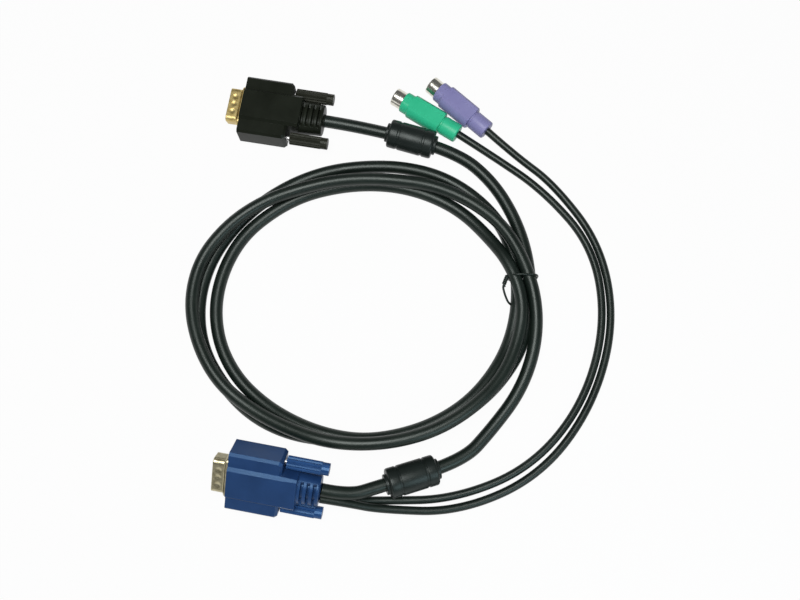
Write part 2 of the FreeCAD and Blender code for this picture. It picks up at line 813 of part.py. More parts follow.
def make_tie(label):
    wire = size["tie_diameter"].value
    inner = coil_edge(sizes["coil_inner_length"], sizes["coil_inner_width"],
                      sizes["coil_inner_shift_x"], sizes["coil_inner_shift_y"], tie_y)
    outer = coil_edge(sizes["coil_outer_length"], sizes["coil_outer_width"], 0, 0, tie_y)
    low = wire / 2
    high = sizes["coil_height"]
    corner = sizes["tie_corner"]
    diagonal = corner * (1 - math.sqrt(0.5))
    edges = []
    stops = [(inner, low, 1, 1), (outer, low, -1, 1), (outer, high, -1, -1), (inner, high, 1, -1)]
    ends = []
    for number, (x, z, inward_x, inward_z) in enumerate(stops):
        beside = FreeCAD.Vector(x + inward_x * corner, tie_y, z)
        upright = FreeCAD.Vector(x, tie_y, z + inward_z * corner)
        middle = FreeCAD.Vector(x + inward_x * diagonal, tie_y, z + inward_z * diagonal)
        first, second = (upright, beside) if number % 2 == 0 else (beside, upright)
        ends.append((first, second))
        edges.append(Part.Arc(first, middle, second).toShape())
    for (_, second), (first, _) in zip(ends, ends[1:] + ends[:1]):
        edges.append(Part.LineSegment(second, first).toShape())
    loop = [Part.Wire(Part.__sortEdges__(edges))]
    corner_point = FreeCAD.Vector(inner, tie_y, high - corner)
    for route in (tie_twist_route, tie_tail_route):
        loop.append(tangent_path([corner_point + step for step in vectors(route)])[0])
    widths = (wire, sizes["tie_twist_diameter"], sizes["tie_tail_diameter"])
    solids = [tube_along(path, width, sizes["tie_sides"])[0] for path, width in zip(loop, widths)]
    return new_solid(label, solids[0].fuse(solids[1:]))


# Assembly

def hood_rest_height(roll):
    """Height of a plug's axis when its hood lies on the table, rolled by an angle."""
    half = sizes["hood_thickness"] / 2
    side = sizes["hood_width"] / 2
    chamfer = sizes["hood_chamfer"]
    corners = [(side, half - chamfer), (side - chamfer, half),
               (sizes["hump_width"] / 2, half + sizes["hump_height"])]
    sine = math.sin(math.radians(roll))
    cosine = math.cos(math.radians(roll))
    return max(abs(y * sine) + abs(z * cosine) for y, z in corners)


def place(pieces, seat, height, yaw, roll, seat_length):
    """Lay pieces so that the cable's seat on their X axis comes to a point of the table."""
    turn = FreeCAD.Rotation(yaw, 0, roll)
    back = turn.multVec(FreeCAD.Vector(seat_length.value, 0, 0))
    placement = FreeCAD.Placement(FreeCAD.Vector(*seat, height) - back, turn)
    for piece in pieces:
        piece.Placement = placement
    return placement


def make_screw_plug(name, seat, yaw, roll):
    pieces = [make_hood(name + "_hood"), make_front_shell(name + "_shell"),
              make_rear_shell(name + "_rear_shell"), make_insulator(name + "_insulator"),
              make_contacts(name + "_contacts")]
    placement = place(pieces, seat, hood_rest_height(roll), yaw, roll, hood_end)
    for side, sign in (("a", 1), ("b", -1)):
        screw = [make_knob(f"{name}_knob_{side}"), make_stud(f"{name}_stud_{side}")]
        aside = FreeCAD.Vector(screw_pull[f"{name}_{side}"], half_screws.value * sign, 0)
        for piece in screw:
            piece.Placement = placement.multiply(FreeCAD.Placement(aside, FreeCAD.Rotation()))
    return placement


def make_din_plug(name, seat, yaw):
    pieces = [make_plug_body(name + "_plug_body"), make_din_shell(name + "_plug_shell"),
              make_din_insulator(name + "_plug_insulator"), make_din_contacts(name + "_plug_contacts")]
    return place(pieces, seat, sizes["plug_diameter"] / 2, yaw, 0, plug_end)


def make_ferrite(name, start, end):
    along = end - start
    turn = FreeCAD.Rotation(FreeCAD.Vector(1, 0, 0), along)
    for piece in (make_ferrite_cover(name + "_cover"), make_ferrite_core(name + "_core")):
        piece.Placement = FreeCAD.Placement(start + along * ferrite_share, turn)


def cable_exit(placement, exit_place):
    y, z = (as_length(number).value for number in exit_place)
    return placement.multVec(FreeCAD.Vector(hood_end.value, y, z))


black = make_screw_plug("black", black_seat, black_yaw, 0)
blue = make_screw_plug("blue", blue_seat, blue_yaw, blue_roll)
make_din_plug("green", green_seat, green_yaw)
make_din_plug("violet", violet_seat, violet_yaw)

plug_height = sizes["plug_diameter"] / 2
black_points = [cable_exit(black, black_exits[0])] + vectors(black_end_route)
blue_points = [cable_exit(blue, blue_exits[0])] + vectors(blue_end_route)
violet_points = ([cable_exit(blue, blue_exits[1])] + vectors(violet_route)
                 + vectors([(*violet_seat, plug_height)]))
green_points = ([cable_exit(blue, blue_exits[2])] + vectors(green_route)
                + vectors([(*green_seat, plug_height)]))
make_ferrite("black_ferrite", black_points[1], black_points[2])
make_ferrite("blue_ferrite", blue_points[1], blue_points[2])
make_cable("main_cable_black_end", black_points, sizes["main_cable_diameter"])
make_cable("main_cable_blue_end", blue_points, sizes["main_cable_diameter"])
make_cable("green_cable", green_points, sizes["thin_cable_diameter"])
make_cable("violet_cable", violet_points, sizes["thin_cable_diameter"])
make_coil("main_cable_coil")
make_tie("coil_tie")

# Checks, then one file for each piece
doc.recompute()
for item in doc.Objects:
    if "Invalid" in item.State or "Error" in item.State:
        raise ValueError(f"{item.Label} failed: {item.State}")
for piece in sub_parts:
    if piece.Shape.isNull() or not piece.Shape.isValid():
        raise ValueError(f"{piece.Label} has no valid shape")
os.makedirs("parts", exist_ok=True)
for piece in sub_parts:
    piece.Shape.exportStep(f"parts/{piece.Label}.step")
    box = piece.Shape.BoundBox
    print(piece.Label, len(piece.Shape.Solids), round(piece.Shape.Volume, 1),
          [round(number, 1) for number in (box.XMin, box.YMin, box.ZMin, box.XMax, box.YMax, box.ZMax)])
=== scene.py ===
import math

import bmesh
import bpy
from mathutils import Matrix, Vector


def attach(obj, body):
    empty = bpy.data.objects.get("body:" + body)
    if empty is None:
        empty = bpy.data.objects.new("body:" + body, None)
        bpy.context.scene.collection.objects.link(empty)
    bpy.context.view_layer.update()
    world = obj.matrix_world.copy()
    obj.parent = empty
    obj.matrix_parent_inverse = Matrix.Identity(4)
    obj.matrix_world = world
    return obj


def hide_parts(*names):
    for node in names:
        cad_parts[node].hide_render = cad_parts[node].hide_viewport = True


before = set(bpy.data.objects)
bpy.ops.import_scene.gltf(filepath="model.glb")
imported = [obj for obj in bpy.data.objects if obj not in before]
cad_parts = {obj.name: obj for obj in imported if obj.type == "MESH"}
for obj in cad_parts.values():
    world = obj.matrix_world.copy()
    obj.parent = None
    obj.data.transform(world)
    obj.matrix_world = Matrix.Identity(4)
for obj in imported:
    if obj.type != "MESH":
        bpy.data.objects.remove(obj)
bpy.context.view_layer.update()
scene = bpy.context.scene
scene.view_settings.view_transform = "Standard"
mm = 0.001


# Camera, nearly overhead: picture up is +Y
cameraValues = {"place": (11.3, -105.3, 425.8), "tilt": 13.0, "lens": 38.5, "sensor": 36.0, "near": 10.0}
cameraData = bpy.data.cameras.new("camera")
cameraData.lens = cameraValues["lens"]
cameraData.sensor_width = cameraValues["sensor"]
cameraData.clip_start = cameraValues["near"] * mm
camera = bpy.data.objects.new("camera", cameraData)
camera.location = Vector(cameraValues["place"]) * mm
camera.rotation_euler = (math.radians(cameraValues["tilt"]), 0.0, 0.0)
scene.collection.objects.link(camera)
scene.camera = camera


# Node groups: each gives a shade, a roughness and a height for one kind of surface
def newGroup(name, inputs):
    group = bpy.data.node_groups.new(name, "ShaderNodeTree")
    for label, value in inputs.items():
        socket = group.interface.new_socket(label, in_out="INPUT", socket_type="NodeSocketFloat")
        socket.default_value = value
    for label in ("Shade", "Roughness", "Height"):
        group.interface.new_socket(label, in_out="OUTPUT", socket_type="NodeSocketFloat")
    return group, group.nodes.new("NodeGroupInput"), group.nodes.new("NodeGroupOutput")


def noise(tree, vector, scale, detail, roughness):
    node = tree.nodes.new("ShaderNodeTexNoise")
    node.inputs["Scale"].default_value = scale
    node.inputs["Detail"].default_value = detail
    node.inputs["Roughness"].default_value = roughness
    tree.links.new(vector, node.inputs["Vector"])
    return node.outputs["Fac"]


def maths(tree, operation, first, second):
    node = tree.nodes.new("ShaderNodeMath")
    node.operation = operation
    for socket, value in zip(node.inputs, (first, second)):
        if isinstance(value, (int, float)):
            socket.default_value = value
        else:
            tree.links.new(value, socket)
    return node.outputs["Value"]


# Two values mixed, the first by its share
def mixed(tree, first, second, share):
    first = maths(tree, "MULTIPLY", first, share)
    second = maths(tree, "MULTIPLY", second, 1 - share)
    return maths(tree, "ADD", first, second)


def spread(tree, value, low, high, fromLow=0.3, fromHigh=0.7):
    node = tree.nodes.new("ShaderNodeMapRange")
    node.inputs["From Min"].default_value = fromLow
    node.inputs["From Max"].default_value = fromHigh
    tree.links.new(value, node.inputs["Value"])
    for label, end in (("To Min", low), ("To Max", high)):
        if isinstance(end, (int, float)):
            node.inputs[label].default_value = end
        else:
            tree.links.new(end, node.inputs[label])
    return node.outputs["Result"]


# Moulded plastic: fine spark-eroded grain, slow cloudiness, and edges a little lighter, partly rubbed wear
# and partly a painted edge highlight
moulding = {
    "inputs": {"Smooth": 0.3, "Rough": 0.42},
    "grain": {"scale": 3200.0, "detail": 2.0, "roughness": 0.6},
    "cloud": {"scale": 95.0, "detail": 4.0, "roughness": 0.55},
    "shade": {"low": 0.1, "high": 0.5},
    "wearAndEdgeHighlight": {"low": 0.0, "high": 0.45, "fromLow": 0.52, "fromHigh": 0.62},
    "grainShare": 0.35,  # of the roughness, the rest is cloud
}


def mouldingGroup(values):
    group, source, target = newGroup("moulding", values["inputs"])
    place = group.nodes.new("ShaderNodeTexCoord").outputs["Object"]
    grain = noise(group, place, **values["grain"])
    cloud = noise(group, place, **values["cloud"])
    edge = group.nodes.new("ShaderNodeNewGeometry").outputs["Pointiness"]
    # Sharp convex edges get a lighter colour: partly wear, partly a painted edge highlight
    wearAndEdgeHighlight = spread(group, edge, **values["wearAndEdgeHighlight"])
    shade = maths(group, "ADD", spread(group, cloud, **values["shade"]), wearAndEdgeHighlight)
    finish = spread(group, mixed(group, grain, cloud, values["grainShare"]),
                    source.outputs["Smooth"], source.outputs["Rough"])
    group.links.new(shade, target.inputs["Shade"])
    group.links.new(finish, target.inputs["Roughness"])
    group.links.new(grain, target.inputs["Height"])
    return group


# Extruded cable jacket: faint draw lines along its length, on a slight orange peel
jacket = {
    "inputs": {"Lines": 34.0, "Length": 60.0},
    "drawn": {"scale": 1.0, "detail": 3.0, "roughness": 0.6},
    "peel": {"scale": 1500.0, "detail": 2.0, "roughness": 0.5},
    "cloud": {"scale": 70.0, "detail": 3.0, "roughness": 0.5},
    "shade": {"low": 0.0, "high": 1.0},
    "finish": {"low": 0.3, "high": 0.44},
    "finishShare": 0.5,  # draw lines against cloud
    "heightShare": 0.6,  # draw lines against peel
}


def jacketGroup(values):
    group, source, target = newGroup("jacket", values["inputs"])
    coordinates = group.nodes.new("ShaderNodeTexCoord")
    along = group.nodes.new("ShaderNodeSeparateXYZ")
    group.links.new(coordinates.outputs["UV"], along.inputs["Vector"])
    lines = group.nodes.new("ShaderNodeCombineXYZ")
    group.links.new(maths(group, "MULTIPLY", along.outputs["X"], source.outputs["Length"]), lines.inputs["X"])
    group.links.new(maths(group, "MULTIPLY", along.outputs["Y"], source.outputs["Lines"]), lines.inputs["Y"])
    drawn = noise(group, lines.outputs["Vector"], **values["drawn"])
    peel = noise(group, coordinates.outputs["Object"], **values["peel"])
    cloud = noise(group, coordinates.outputs["Object"], **values["cloud"])
    finish = spread(group, mixed(group, drawn, cloud, values["finishShare"]), **values["finish"])
    group.links.new(spread(group, cloud, **values["shade"]), target.inputs["Shade"])
    group.links.new(finish, target.inputs["Roughness"])
    group.links.new(mixed(group, drawn, peel, values["heightShare"]), target.inputs["Height"])
    return group


# Plated sheet: soft drawing marks over cloudy plating
plating = {
    "inputs": {"Smooth": 0.3, "Rough": 0.44},
    "stretch": (0.12, 1.0, 1.0),
    "drawn": {"scale": 4200.0, "detail": 2.0, "roughness": 0.6},
    "cloud": {"scale": 420.0, "detail": 4.0, "roughness": 0.55},
    "shade": {"low": 0.0, "high": 1.0},
    "finishShare": 0.5,  # drawing marks against cloud
}


def platingGroup(values):
    group, source, target = newGroup("plating", values["inputs"])
    place = group.nodes.new("ShaderNodeTexCoord").outputs["Object"]
    stretch = group.nodes.new("ShaderNodeMapping")
    stretch.inputs["Scale"].default_value = values["stretch"]
    group.links.new(place, stretch.inputs["Vector"])
    drawn = noise(group, stretch.outputs["Vector"], **values["drawn"])
    cloud = noise(group, place, **values["cloud"])
    finish = spread(group, mixed(group, drawn, cloud, values["finishShare"]),
                    source.outputs["Smooth"], source.outputs["Rough"])
    group.links.new(spread(group, cloud, **values["shade"]), target.inputs["Shade"])
    group.links.new(finish, target.inputs["Roughness"])
    group.links.new(drawn, target.inputs["Height"])
    return group


groups = {
    "moulding": mouldingGroup(moulding),
    "jacket": jacketGroup(jacket),
    "plating": platingGroup(plating),
}


# What a finish has where it says nothing else
plainFinish = {
    "inputs": {},
    "metallic": 0.0,
    "ior": 1.48,
    "specular": 0.5,
    "tint": (1.0, 1.0, 1.0),
    "bumpDistance": 0.08,
}


# One material: a surface group drives colour, roughness and bump
def newMaterial(name, ownValues):
    values = {**plainFinish, **ownValues}
    material = bpy.data.materials.new(name)
    material.use_nodes = True
    tree = material.node_tree
    tree.nodes.clear()
    output = tree.nodes.new("ShaderNodeOutputMaterial")
    shader = tree.nodes.new("ShaderNodeBsdfPrincipled")
    tree.links.new(shader.outputs["BSDF"], output.inputs["Surface"])
    surface = tree.nodes.new("ShaderNodeGroup")
    surface.node_tree = groups[values["surface"]]
    for label, value in values["inputs"].items():
        surface.inputs[label].default_value = value
    colour = tree.nodes.new("ShaderNodeMix")
    colour.data_type = "RGBA"
    colour.inputs["A"].default_value = (*values["dark"], 1.0)
    colour.inputs["B"].default_value = (*values["light"], 1.0)
    tree.links.new(surface.outputs["Shade"], colour.inputs["Factor"])
    tree.links.new(colour.outputs["Result"], shader.inputs["Base Color"])
    tree.links.new(surface.outputs["Roughness"], shader.inputs["Roughness"])
    bump = tree.nodes.new("ShaderNodeBump")
    bump.inputs["Strength"].default_value = values["bump"]
    bump.inputs["Distance"].default_value = values["bumpDistance"] * mm
    tree.links.new(surface.outputs["Height"], bump.inputs["Height"])
    tree.links.new(bump.outputs["Normal"], shader.inputs["Normal"])
    shader.inputs["Metallic"].default_value = values["metallic"]
    shader.inputs["IOR"].default_value = values["ior"]
    shader.inputs["Specular IOR Level"].default_value = values["specular"]
    shader.inputs["Specular Tint"].default_value = (*values["tint"], 1.0)
    return material


finishes = {
    "blackJacket": {"surface": "jacket", "dark": (0.0045, 0.0085, 0.0065), "light": (0.0085, 0.014, 0.011),
                    "bump": 0.12, "specular": 0.42, "tint": (0.92, 1.0, 0.95)},
    "blackMoulding": {"surface": "moulding", "dark": (0.0065, 0.0078, 0.005),
                      "light": (0.0155, 0.0185, 0.0125), "bump": 0.1, "specular": 0.13,
                      "tint": (0.92, 1.0, 0.94)},
    "sleeveMoulding": {"surface": "moulding", "dark": (0.007, 0.01, 0.009), "light": (0.018, 0.024, 0.022),
                       "bump": 0.14, "specular": 0.3, "tint": (0.92, 1.0, 0.97)},
    "blueMoulding": {"surface": "moulding", "dark": (0.009, 0.03, 0.095), "light": (0.017, 0.055, 0.17),
                     "bump": 0.1, "specular": 0.55, "tint": (0.4, 0.68, 1.0)},
    # Painted light: the knob is coloured lighter than the hood's black moulding, for its lit top
    "blackKnobPaintedLight": {"surface": "moulding", "dark": (0.015, 0.016, 0.011), "light": (0.032, 0.033, 0.024),
                  "bump": 0.1, "specular": 0.2, "tint": (0.95, 1.0, 0.92)},
    # Painted highlight: the knob is coloured lighter than the hood's blue moulding, for the lamp's reflection
    # on it
    "blueKnobPaintedLight": {"surface": "moulding", "dark": (0.012, 0.042, 0.13), "light": (0.022, 0.075, 0.22),
                 "bump": 0.1, "specular": 0.5, "tint": (0.4, 0.68, 1.0)},
    "greenMoulding": {"surface": "moulding", "dark": (0.024, 0.46, 0.23), "light": (0.045, 0.56, 0.31),
                      "bump": 0.08, "specular": 0.3},
    "violetMoulding": {"surface": "moulding", "dark": (0.2, 0.19, 0.4), "light": (0.29, 0.28, 0.5),
                       "bump": 0.08, "specular": 0.3},
    "carrier": {"surface": "moulding", "dark": (0.012, 0.012, 0.012), "light": (0.03, 0.03, 0.03),
                "bump": 0.06},
    "ferrite": {"surface": "moulding", "dark": (0.03, 0.03, 0.032), "light": (0.06, 0.06, 0.06), "bump": 0.3},
    "gold": {"surface": "plating", "dark": (0.5, 0.37, 0.13), "light": (0.72, 0.59, 0.28), "bump": 0.04,
             "metallic": 1.0, "inputs": {"Smooth": 0.42, "Rough": 0.5}},
    "nickel": {"surface": "plating", "dark": (0.38, 0.34, 0.21), "light": (0.6, 0.55, 0.38), "bump": 0.04,
               "metallic": 1.0, "inputs": {"Smooth": 0.34, "Rough": 0.42}},
    "brightNickel": {"surface": "plating", "dark": (0.6, 0.58, 0.5), "light": (0.84, 0.82, 0.74),
                     "bump": 0.03, "metallic": 1.0, "inputs": {"Smooth": 0.19, "Rough": 0.25}},
    "steel": {"surface": "plating", "dark": (0.42, 0.42, 0.42), "light": (0.66, 0.66, 0.65), "bump": 0.08,
              "metallic": 1.0},
}
material = {name: newMaterial(name, values) for name, values in finishes.items()}
print("materials done")


# Cords: one open spline each, with the route's points as control points
curveSteps = {"along": 12, "around": 7}


def newCurve(name, points, diameter, finish):
    curve = bpy.data.curves.new(name, "CURVE")
    curve.dimensions = "3D"
    spline = curve.splines.new("NURBS")
    spline.points.add(len(points) - 1)
    for point, place in zip(spline.points, points):
        point.co = (place[0] * mm, place[1] * mm, place[2] * mm, 1.0)
    spline.order_u = 3
    spline.use_endpoint_u = True
    spline.resolution_u = curveSteps["along"]
    curve.bevel_depth = diameter * mm / 2
    curve.bevel_resolution = curveSteps["around"]
    curve.use_fill_caps = True
    curve.materials.append(finish)
    piece = bpy.data.objects.new(name, curve)
    scene.collection.objects.link(piece)
    return piece


# Three loose turns, clockwise from the tie: angle, then radius and height of each turn
coil = {
    "centre": (-6.4, -10.4),
    "stations": [
        (0, (83.6, 4.2), (77.3, 4.2), (79.6, 10.1)),
        (345, (82.0, 3.3), (75.3, 3.3), (78.7, 9.3)),
        (330, (78.2, 3.3), (73.0, 7.3), (77.5, 11.6)),
        (315, (74.4, 3.3), (71.3, 9.2), (74.7, 14.3)),
        (300, (72.0, 3.3), (69.4, 9.4), (72.8, 15.4)),
        (285, (69.6, 3.3), (68.2, 9.8), (71.1, 16.0)),
        (270, (68.9, 3.3), (68.2, 9.7), (70.6, 16.0)),
        (255, (69.9, 3.3), (67.9, 9.9), (71.3, 15.5)),
        (240, (74.4, 3.3), (68.4, 6.9), (72.4, 11.8)),
        (225, (78.5, 3.3), (70.5, 3.7), (76.1, 9.4)),
        (210, (81.2, 3.3), (73.6, 3.3), (81.5, 10.0)),
        (195, (84.3, 3.3), (75.6, 3.3), (84.8, 9.9)),
        (180, (84.7, 3.3), (76.0, 3.3), (87.4, 9.3)),
        (165, (83.1, 3.3), (74.8, 3.3), (86.4, 9.1)),
        (150, (79.9, 3.3), (73.0, 3.3), (80.8, 9.9)),
        (135, (77.1, 3.3), (69.5, 3.3), (74.8, 9.9)),
        (120, (75.5, 3.3), (67.1, 3.3), (69.0, 9.8)),
        (105, (74.8, 3.3), (65.0, 3.3), (66.5, 9.6)),
        (90, (74.8, 3.3), (64.6, 3.3), (65.6, 9.6)),
        (75, (76.9, 3.3), (65.7, 3.3), (66.9, 9.6)),
        (60, (79.7, 3.3), (67.6, 3.3), (71.6, 8.7)),
        (45, (81.3, 3.3), (70.3, 3.3), (76.0, 9.3)),
        (30, (82.3, 3.5), (72.1, 5.3), (80.9, 10.0)),
        (15, (79.6, 4.4), (75.8, 10.9), (83.1, 10.7)),
    ],
}


def coilPoints(values):
    points = []
    for turn in (1, 2, 3):
        for station in values["stations"]:
            angle = math.radians(station[0])
            radius, height = station[turn]
            x = values["centre"][0] + radius * math.cos(angle)
            y = values["centre"][1] + radius * math.sin(angle)
            points.append((x, y, height))
    return points


# Thick cord: from the black plug into the coil, and on to the blue plug
mainCord = {
    "diameter": 6.5,
    "length": 1.75,  # metres
    "blackEnd": [(-27.9, 87.5, 8.5), (-3.7, 83.8, 7.6), (41.0, 71.1, 6.3), (59.6, 55.6, 4.2),
                 (71.5, 34.4, 3.4), (77.1, 12.0, 4.4)],
    "blueEnd": [(79.6, -10.4, 10.0), (78.6, -33.0, 6.7), (70.4, -54.7, 4.2), (55.5, -73.6, 3.4),
                (41.7, -88.1, 4.7), (0.5, -100.5, 10.8), (-12.5, -104.5, 12.9), (-25.6, -101.8, 15.3)],
}
mainPoints = mainCord["blackEnd"] + coilPoints(coil) + mainCord["blueEnd"]
mainCable = newCurve("main_cord", mainPoints, mainCord["diameter"], material["blackJacket"])
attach(mainCable, "lead")
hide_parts("main_cable_black_end", "main_cable_coil", "main_cable_blue_end")

# Both thin cords run from the blue plug round the coil to their own plug
thinCords = {
    "diameter": 4.0,
    "length": 0.32,  # metres
    "green": [(-26.066, -103.633, 10.437), (-12.5, -106.6, 7.6), (1.5, -106.8, 3.8), (37.3, -106.2, 2.1),
              (75.2, -91.2, 2.1), (102.3, -60.0, 2.1), (115.3, -19.0, 2.1), (110.8, 21.0, 2.1),
              (86.3, 51.5, 2.1), (59.2, 70.4, 4.0), (41.8, 81.4, 6.05)],
    "violet": [(-26.3, -105.9, 13.4), (-12.5, -108.1, 10.6), (1.5, -110.8, 6.0), (39.3, -112.2, 2.1),
               (79.0, -95.5, 2.1), (106.5, -61.6, 2.1), (119.9, -19.0, 2.1), (114.7, 22.0, 2.1),
               (91.8, 55.0, 2.1), (71.9, 70.0, 4.0), (57.2, 83.2, 6.05)],
}
for colour in ("green", "violet"):
    points = thinCords[colour]
    cord = newCurve(colour + "_cord", points, thinCords["diameter"], material["blackJacket"])
    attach(cord, "lead")
    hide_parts(colour + "_cable")
print("cords done")


# Places of the four plugs: X runs from the mating face to the cable
plugPlaces = {
    "black": {"seat": mainPoints[0], "yaw": -9.3, "roll": 0.0, "length": 43.5},
    "blue": {"seat": (-25.8, -102.2, 14.215), "yaw": -10.5, "roll": 36.0, "length": 43.5},
    "green": {"seat": thinCords["green"][-1], "yaw": -33.0, "roll": 0.0, "length": 33.7},
    "violet": {"seat": thinCords["violet"][-1], "yaw": -42.3, "roll": 0.0, "length": 33.7},
}


def plugFrame(values):
    yaw = Matrix.Rotation(math.radians(values["yaw"]), 4, "Z")
    turn = yaw @ Matrix.Rotation(math.radians(values["roll"]), 4, "X")
    back = Matrix.Translation((-values["length"] * mm, 0.0, 0.0))
    return Matrix.Translation(Vector(values["seat"]) * mm) @ turn @ back


plugFrames = {name: plugFrame(values) for name, values in plugPlaces.items()}


# A new piece in a local frame, that rides on a body and stands for a node
def addPiece(name, shape, place, finish, body, node, smooth=40.0, weighted=False):
    mesh = bpy.data.meshes.new(name)
    bmesh.ops.recalc_face_normals(shape, faces=shape.faces)
    for face in shape.faces:
        face.smooth = True
    for edge in shape.edges:
        edge.smooth = not edge.is_manifold or edge.calc_face_angle() < math.radians(smooth)
    shape.to_mesh(mesh)
    shape.free()
    mesh.materials.append(finish)
    piece = bpy.data.objects.new(name, mesh)
    piece.matrix_world = place
    scene.collection.objects.link(piece)
    if weighted:
        normals = piece.modifiers.new("normals", "WEIGHTED_NORMAL")
        normals.keep_sharp = True
    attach(piece, body)
    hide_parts(node)


# Points nearer than the gap become one
mergeGap = 0.002


def mergePoints(shape):
    bmesh.ops.remove_doubles(shape, verts=shape.verts, dist=mergeGap * mm)


# A node's own shape in the frame of its plug
def nodeShape(node, place):
    shape = bmesh.new()
    shape.from_mesh(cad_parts[node].data)
    shape.transform(place.inverted())
    mergePoints(shape)
    return shape


# Round bevels on the edges that turn by more than an angle
def roundEdges(shape, width, turn, steps):
    limit = math.radians(turn)
    sharp = [edge for edge in shape.edges if edge.is_manifold and edge.calc_face_angle() > limit]
    bmesh.ops.bevel(shape, geom=sharp, offset=width * mm, offset_type="OFFSET", segments=steps, profile=0.5,
                    affect="EDGES", clamp_overlap=True)


# Faces between rings of one count; a looped shape closes on its first ring
def joinRings(shape, rings, looped=False):
    pairs = list(zip(rings, rings[1:]))
    if looped:
        pairs.append((rings[-1], rings[0]))
    for first, second in pairs:
        for index in range(len(first)):
            after = (index + 1) % len(first)
            shape.faces.new((first[index], first[after], second[after], second[index]))


# Angles over a part of a turn with both ends, and all the way round
def turnSteps(sweep, count):
    return [sweep * step / count for step in range(count + 1)]


def roundSteps(count):
    return turnSteps(2 * math.pi, count)[:-1]


quarterTurn = turnSteps(math.pi / 2, 4)


# Hoods and knobs: the node's own shape, with its edges rounded as the moulding has them
hood = {
    "edge": 0.5,
    "knobEdge": 0.14,
    "edgeTurn": 20.0,
    "edgeSteps": 3,
    "flat": 1.0,  # facets within this angle become one face
    "cut": 31.2,  # the hood ends here, inside the strain relief
    "end": 3.0,  # the stretch before the cut that moves with a longer hood
    "longer": {"black": 0.0, "blue": 2.0},
}


def cutHood(shape, values, longer):
    geometry = list(shape.verts) + list(shape.edges) + list(shape.faces)
    bmesh.ops.bisect_plane(shape, geom=geometry, dist=mergeGap / 2 * mm, plane_no=(1.0, 0.0, 0.0),
                           plane_co=(values["cut"] * mm, 0.0, 0.0), clear_outer=True)
    bmesh.ops.holes_fill(shape, edges=[edge for edge in shape.edges if edge.is_boundary], sides=0)
    for vert in shape.verts:
        if vert.co.x > (values["cut"] - values["end"]) * mm:
            vert.co.x += longer * mm


def roundedNode(node, place, values, width, finish, body, longer=None):
    shape = nodeShape(node, place)
    bmesh.ops.dissolve_limit(shape, angle_limit=math.radians(values["flat"]), verts=shape.verts,
                             edges=shape.edges)
    if longer is not None:
        cutHood(shape, values, longer)
    roundEdges(shape, width, values["edgeTurn"], values["edgeSteps"])
    addPiece(node + "_dressed", shape, place, finish, body, node, weighted=True)


# Strain relief: a round boot with grooves across its top and bottom, closed along both sides
relief = {
    "start": 30.8,
    "sink": 0.8,  # runs this far into the hood
    "taper": 0.5,
    "squareness": 2.3,
    "grooveLength": 1.4,
    "grooveTurn": 52.0,  # degrees to each side of top and bottom
    "endRounding": 0.7,
    "neck": 3.4,
    "edge": 0.22,
    "edgeTurn": 35.0,
    "edgeSteps": 2,
    "around": 96,
    "black": {"half": (8.6, 7.0), "length": 11.9, "grooves": (0.4, 3.3, 6.2, 9.1), "depth": 2.4},
    "blue": {"half": (7.9, 7.0), "length": 12.5, "grooves": (3.5, 6.5, 9.5), "depth": 2.6},
}


def reliefRing(shape, values, along, wide, high, depth):
    ring = []
    for step in range(values["around"]):
        angle = 360.0 * (step + 0.5) / values["around"]
        cosine, sine = math.cos(math.radians(angle)), math.sin(math.radians(angle))
        radius = (abs(cosine / wide) ** values["squareness"] + abs(sine / high) ** values["squareness"])
        radius = radius ** (-1 / values["squareness"])
        if abs(angle % 180.0 - 90.0) < values["grooveTurn"]:
            radius -= depth
        place = (values["start"] + along, radius * cosine, radius * sine)
        ring.append(shape.verts.new([part * mm for part in place]))
    return ring


def reliefShape(values, colour):
    own, rounding = values[colour], values["endRounding"]
    steps = [(-values["sink"], 0.0, 0.0)]
    for start in own["grooves"]:
        stop, depth = start + values["grooveLength"], own["depth"]
        steps += [(start, 0.0, 0.0), (start, 0.0, depth), (stop, 0.0, depth), (stop, 0.0, 0.0)]
    for turn in quarterTurn:
        steps.append((own["length"] - rounding * (1 - math.sin(turn)), rounding * (1 - math.cos(turn)), 0.0))
    shape = bmesh.new()
    rings = []
    for along, inset, depth in steps:
        narrower = values["taper"] * max(0.0, along) / own["length"] + inset
        wide, high = (half - narrower for half in own["half"])
        rings.append(reliefRing(shape, values, along, wide, high, depth))
    for along in (own["length"], plugPlaces[colour]["length"] - values["start"]):
        rings.append(reliefRing(shape, values, along, values["neck"], values["neck"], 0.0))
    joinRings(shape, rings)
    shape.faces.new(rings[0])
    shape.faces.new(rings[-1])
    mergePoints(shape)
    roundEdges(shape, values["edge"], values["edgeTurn"], values["edgeSteps"])
    return shape


# Front shell: a stepped root and a drawn D collar with a rolled rim and dents along both long sides
frontShell = {
    "root": {"half": (10.6, 5.2), "slope": 0.0, "corner": 2.2},
    "collar": {"half": (9.6, 4.72), "slope": 1.55, "corner": 2.2},
    "step": 1.7,
    "reach": 7.7,
    "wall": 0.45,
    "rootRounding": 0.6,
    "footRounding": 0.6,
    "wallSteps": 18,
    "rimSteps": 6,
    "cornerSteps": 8,
    "sideSteps": (64, 6),
    "dent": {"along": 4.7, "pitch": 4.1, "count": 3, "radius": 1.8, "depth": 0.34},
    "smooth": 50.0,
}


# Along and inset of a tube's wall, over its rounded rim and back inside
def wallSteps(values, start):
    rim, count = values["wall"] / 2, values["wallSteps"]
    top = values["reach"] - rim
    outside = [(start + (top - start) * step / count, 0.0) for step in range(count)]
    turns = turnSteps(math.pi, values["rimSteps"])
    over = [(top + rim * math.sin(turn), rim - rim * math.cos(turn)) for turn in turns]
    return outside + over + [(along, values["wall"]) for along, inset in reversed(outside)]


